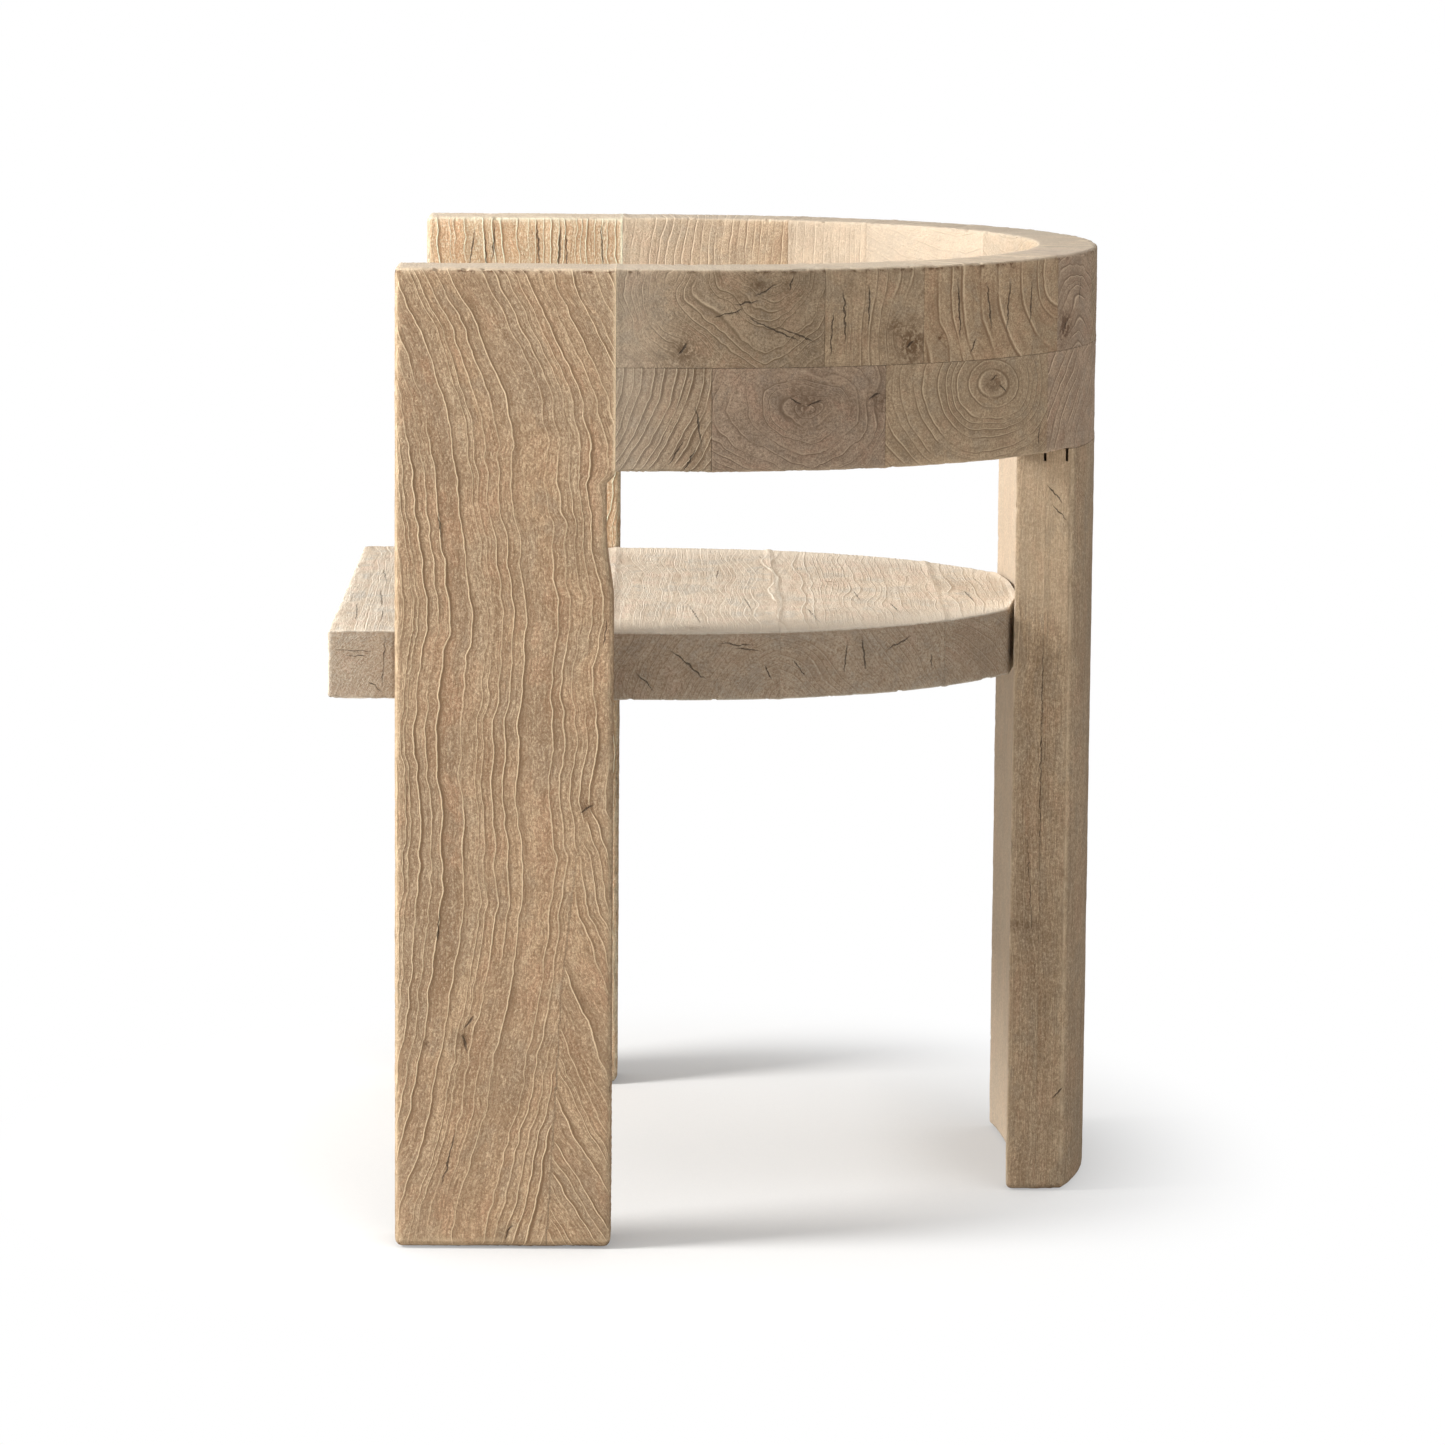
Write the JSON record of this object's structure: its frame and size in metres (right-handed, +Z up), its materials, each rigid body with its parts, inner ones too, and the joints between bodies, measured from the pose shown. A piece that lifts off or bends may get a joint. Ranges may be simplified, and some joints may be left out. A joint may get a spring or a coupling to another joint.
{
  "type": "dining chair",
  "caption": "Solid wood dining chair: broad plank front legs, a thick slab seat, and a curved brick-laid band as arms and back, carried behind by a curved plank leg.",
  "frame": {"origin": "on the floor, in the middle of the chair's width and of its overall depth", "axes": "+Z up; the sitter faces -Y; +X is the sitter's left"},
  "size_m": [0.6, 0.602, 0.75],
  "materials": {
    "leg_board_wood": "brushed and weathered, matt",
    "band_wood": "end grain, weathered, matt",
    "seat_wood": "bleached and brushed, matt",
    "rear_leg_wood": "sawn and sanded, matt",
    "joinery_wood": "raw, unfinished"
  },
  "bodies": {
    "root": {"front_leg_left": "leg_board_wood", "front_leg_right": "leg_board_wood", "band_lower_block_1": "band_wood", "band_lower_block_2": "band_wood", "band_lower_block_3": "band_wood", "band_lower_block_4": "band_wood", "band_lower_block_5": "band_wood", "band_lower_block_6": "band_wood", "band_lower_block_7": "band_wood", "band_lower_block_8": "band_wood", "band_upper_block_1": "band_wood", "band_upper_block_2": "band_wood", "band_upper_block_3": "band_wood", "band_upper_block_4": "band_wood", "band_upper_block_5": "band_wood", "band_upper_block_6": "band_wood", "band_upper_block_7": "band_wood", "band_upper_block_8": "band_wood", "band_upper_block_9": "band_wood", "seat_board_1": "seat_wood", "seat_board_2": "seat_wood", "seat_board_3": "seat_wood", "seat_board_4": "seat_wood", "seat_board_5": "seat_wood", "rear_leg_front_plank": "rear_leg_wood", "rear_leg_rear_plank": "rear_leg_wood", "band_tenon_lower_left": "joinery_wood", "band_tenon_lower_right": "joinery_wood", "band_tenon_upper_left": "joinery_wood", "band_tenon_upper_right": "joinery_wood", "seat_tenon_front_left": "joinery_wood", "seat_tenon_front_right": "joinery_wood", "seat_tenon_rear_left": "joinery_wood", "seat_tenon_rear_right": "joinery_wood", "rear_tenon_left": "joinery_wood", "rear_tenon_right": "joinery_wood", "course_dowel_1": "joinery_wood", "course_dowel_2": "joinery_wood", "course_dowel_3": "joinery_wood", "course_dowel_4": "joinery_wood", "course_dowel_5": "joinery_wood", "course_dowel_6": "joinery_wood", "course_dowel_7": "joinery_wood", "course_dowel_8": "joinery_wood", "course_dowel_9": "joinery_wood", "course_dowel_10": "joinery_wood", "course_dowel_11": "joinery_wood", "course_dowel_12": "joinery_wood", "course_dowel_13": "joinery_wood", "course_dowel_14": "joinery_wood", "course_dowel_15": "joinery_wood", "course_dowel_16": "joinery_wood"}
  },
  "joints": []
}
